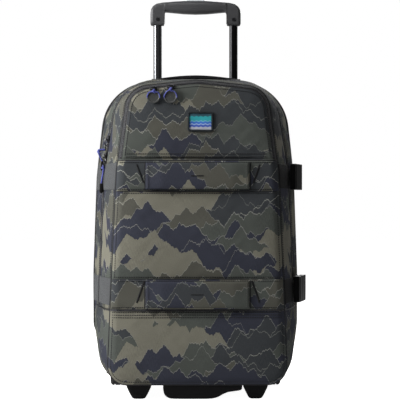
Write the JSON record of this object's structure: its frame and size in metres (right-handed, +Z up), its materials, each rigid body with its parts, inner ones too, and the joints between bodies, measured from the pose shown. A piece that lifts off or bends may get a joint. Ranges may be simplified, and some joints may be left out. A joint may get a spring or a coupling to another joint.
{
  "type": "rolling duffel bag",
  "caption": "Soft upright wheeled bag with a swing-open front, zipped front pocket, side-release straps, padded handles, telescopic pull handle and rear wheels.",
  "frame": {"origin": "on the floor, under the middle of the standing handle below the front edge", "axes": "+Z up, the front faces -Y, +X to the right seen from the front"},
  "size_m": [0.3509, 0.2425, 0.65],
  "materials": {
    "camo_fabric": "matte woven polyester, mountain-ridge pattern",
    "grey_fabric": "matte woven polyester",
    "lining": "plain polyester lining",
    "webbing": "matte woven webbing",
    "piping": "black piping and zip tape",
    "board": "fibre board",
    "black_plastic": "satin moulded plastic",
    "grip_plastic": "soft satin plastic",
    "button_plastic": "satin",
    "zip_metal": "black coated metal",
    "cord": "braided cord",
    "patch": "moulded label, plain stripes",
    "tube_black": "black anodised",
    "tube_silver": "anodised",
    "steel": "brushed",
    "hub_plastic": "satin",
    "tyre": "matte"
  },
  "bodies": {
    "bag": {"back_panel": "grey_fabric", "rear_shell": "camo_fabric", "lower_shell": "camo_fabric", "base_board": "board", "back_board": "lining", "rear_piping": "piping", "bag_zip_tape": "piping", "bag_bands": "grey_fabric", "rear_straps": "webbing", "buckle_sockets": "black_plastic", "wheel_housing_left": "black_plastic", "wheel_housing_right": "black_plastic", "axles": "steel", "front_feet": "black_plastic", "base_handle": "black_plastic", "handle_bezel": "black_plastic", "body_screws": "steel", "fixed_tubes": "tube_silver", "tube_base": "black_plastic", "top_handle_anchors": "webbing"},
    "lid": {"lid_shell": "camo_fabric", "front_piping": "piping", "pocket_lining": "lining", "upper_band": "camo_fabric", "lower_band": "camo_fabric", "lid_bands": "grey_fabric", "lid_zip_tape": "piping", "front_straps": "webbing"},
    "upper_plug": {"upper_buckle_plug": "black_plastic"},
    "lower_plug": {"lower_buckle_plug": "black_plastic"},
    "upper_haul": {"upper_haul_handle": "camo_fabric"},
    "lower_haul": {"lower_haul_handle": "camo_fabric"},
    "flap": {"pocket_flap": "camo_fabric", "label_patch": "patch"},
    "pocket_slider_l": {"pocket_slider_left": "zip_metal"},
    "pocket_pull_l": {"pocket_pull_left": "cord"},
    "pocket_slider_r": {"pocket_slider_right": "zip_metal"},
    "pocket_pull_r": {"pocket_pull_right": "cord"},
    "main_slider_u": {"main_slider_upper": "zip_metal"},
    "main_pull_u": {"main_pull_upper": "cord"},
    "main_slider_l": {"main_slider_lower": "zip_metal"},
    "main_pull_l": {"main_pull_lower": "cord"},
    "top_handle": {"top_grab_handle": "webbing"},
    "middle_stage": {"middle_tubes": "tube_silver"},
    "inner_stage": {"inner_tubes": "tube_black", "grip_sockets": "black_plastic", "grip_bar": "grip_plastic", "grip_screws": "steel", "tube_plugs": "black_plastic"},
    "button": {"grip_button": "button_plastic", "push_bar": "steel", "button_springs": "steel"},
    "pin_l": {"lock_pin_left": "steel"},
    "pin_r": {"lock_pin_right": "steel"},
    "wheel_l": {"tyre_left": "tyre", "hub_left": "hub_plastic", "bearings_left": "steel"},
    "wheel_r": {"tyre_right": "tyre", "hub_right": "hub_plastic", "bearings_right": "steel"}
  },
  "joints": [
    {"name": "lid_swing", "type": "hinge", "parent": "bag", "child": "lid", "pos_m": [-0.164, 0.07, 0.141], "axis": [0, 0, -1], "range_deg": [0, 90]},
    {"name": "upper_buckle_release", "type": "slide", "parent": "lid", "child": "upper_plug", "axis": [-0.2588, -0.9659, 0], "range_m": [0, 0.024]},
    {"name": "lower_buckle_release", "type": "slide", "parent": "lid", "child": "lower_plug", "axis": [-0.2588, -0.9659, 0], "range_m": [0, 0.024]},
    {"name": "upper_haul_lift", "type": "slide", "parent": "lid", "child": "upper_haul", "axis": [0, -1, 0], "range_m": [0, 0.018]},
    {"name": "lower_haul_lift", "type": "slide", "parent": "lid", "child": "lower_haul", "axis": [0, -1, 0], "range_m": [0, 0.018]},
    {"name": "flap_open", "type": "hinge", "parent": "lid", "child": "flap", "pos_m": [0, -0.03, 0.3775], "axis": [1, 0, 0], "range_deg": [0, 90]},
    {"name": "pocket_slider_left_run", "type": "hinge", "parent": "flap", "child": "pocket_slider_l", "pos_m": [-0.075, -0.03, 0.452], "axis": [0, -1, 0], "range_deg": [0, 75]},
    {"name": "pocket_pull_left_swing", "type": "hinge", "parent": "pocket_slider_l", "child": "pocket_pull_l", "pos_m": [-0.0685, -0.037, 0.487], "axis": [-1, 0, 0], "range_deg": [0, 120]},
    {"name": "pocket_slider_right_run", "type": "slide", "parent": "flap", "child": "pocket_slider_r", "axis": [1, 0, 0], "range_m": [0, 0.105]},
    {"name": "pocket_pull_right_swing", "type": "hinge", "parent": "pocket_slider_r", "child": "pocket_pull_r", "pos_m": [-0.042, -0.037, 0.487], "axis": [-1, 0, 0], "range_deg": [0, 120]},
    {"name": "main_slider_upper_run", "type": "hinge", "parent": "lid", "child": "main_slider_u", "pos_m": [-0.066, 0.065, 0.419], "axis": [0, 1, 0], "range_deg": [0, 85]},
    {"name": "main_pull_upper_swing", "type": "hinge", "parent": "main_slider_u", "child": "main_pull_u", "pos_m": [-0.1616, 0.0672, 0.407], "axis": [0, 1, 0], "range_deg": [0, 110]},
    {"name": "main_slider_lower_run", "type": "slide", "parent": "lid", "child": "main_slider_l", "axis": [0, 0, 1], "range_m": [-0.004, 0.008]},
    {"name": "main_pull_lower_swing", "type": "hinge", "parent": "main_slider_l", "child": "main_pull_l", "pos_m": [-0.1604, 0.0618, 0.381], "axis": [0, 1, 0], "range_deg": [0, 110]},
    {"name": "top_handle_lift", "type": "slide", "parent": "bag", "child": "top_handle", "axis": [0, 0, 1], "range_m": [0, 0.025]},
    {"name": "middle_stage_slide", "type": "slide", "parent": "bag", "child": "middle_stage", "axis": [0, 0, 1], "range_m": [0, 0.23]},
    {"name": "inner_stage_slide", "type": "slide", "parent": "middle_stage", "child": "inner_stage", "axis": [0, 0, 1], "range_m": [-0.092, 0.15]},
    {"name": "grip_button_press", "type": "slide", "parent": "inner_stage", "child": "button", "axis": [0, 0, -1], "range_m": [0, 0.002], "stiffness_N_per_m": 500, "deforming": ["button_springs"]},
    {"name": "lock_pin_left_retract", "type": "slide", "parent": "inner_stage", "child": "pin_l", "axis": [1, 0, 0], "range_m": [0, 0.0025]},
    {"name": "lock_pin_right_retract", "type": "slide", "parent": "inner_stage", "child": "pin_r", "axis": [-1, 0, 0], "range_m": [0, 0.0025]},
    {"name": "wheel_left_spin", "type": "hinge", "parent": "bag", "child": "wheel_l", "pos_m": [-0.131, 0.17, 0.034], "axis": [1, 0, 0], "continuous": true},
    {"name": "wheel_right_spin", "type": "hinge", "parent": "bag", "child": "wheel_r", "pos_m": [0.131, 0.17, 0.034], "axis": [1, 0, 0], "continuous": true}
  ],
  "couplings": [
    {"joint": "lock_pin_left_retract", "follows": "grip_button_press", "ratio": 1.25},
    {"joint": "lock_pin_right_retract", "follows": "grip_button_press", "ratio": 1.25}
  ]
}
